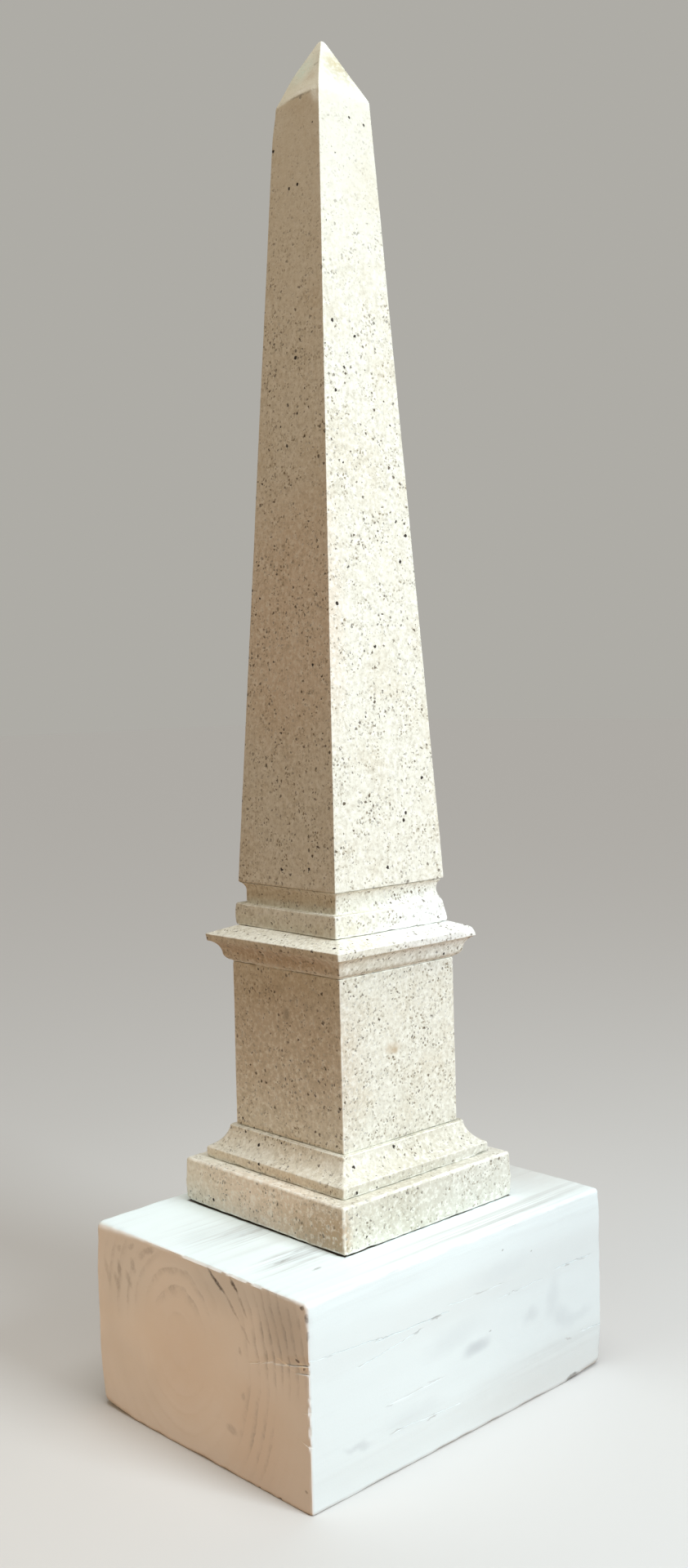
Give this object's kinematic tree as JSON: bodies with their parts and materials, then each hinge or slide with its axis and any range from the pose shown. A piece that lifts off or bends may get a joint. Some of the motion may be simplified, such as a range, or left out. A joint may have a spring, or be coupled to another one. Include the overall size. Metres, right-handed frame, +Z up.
{
  "type": "table-top stone obelisk on a timber block",
  "caption": "Square tapering needle with a pyramid tip on a moulded pedestal, standing on a painted timber block.",
  "frame": {"origin": "centre of the timber block's underside, where it rests on a table", "axes": "+Z up the shaft to its tip, +X along the timber's grain and the block's long side, +Y across the block"},
  "size_m": [0.1654, 0.125, 0.5387],
  "materials": {
    "speckled_stone": "matt pale stone with fine dark speckles",
    "painted_timber": "sawn softwood under thin white paint"
  },
  "bodies": {
    "root": {"timber_block": "painted_timber", "plinth": "speckled_stone", "pedestal_base_moulding": "speckled_stone", "pedestal_die": "speckled_stone", "pedestal_cap": "speckled_stone", "shaft_base_moulding": "speckled_stone", "shaft": "speckled_stone"}
  },
  "joints": []
}
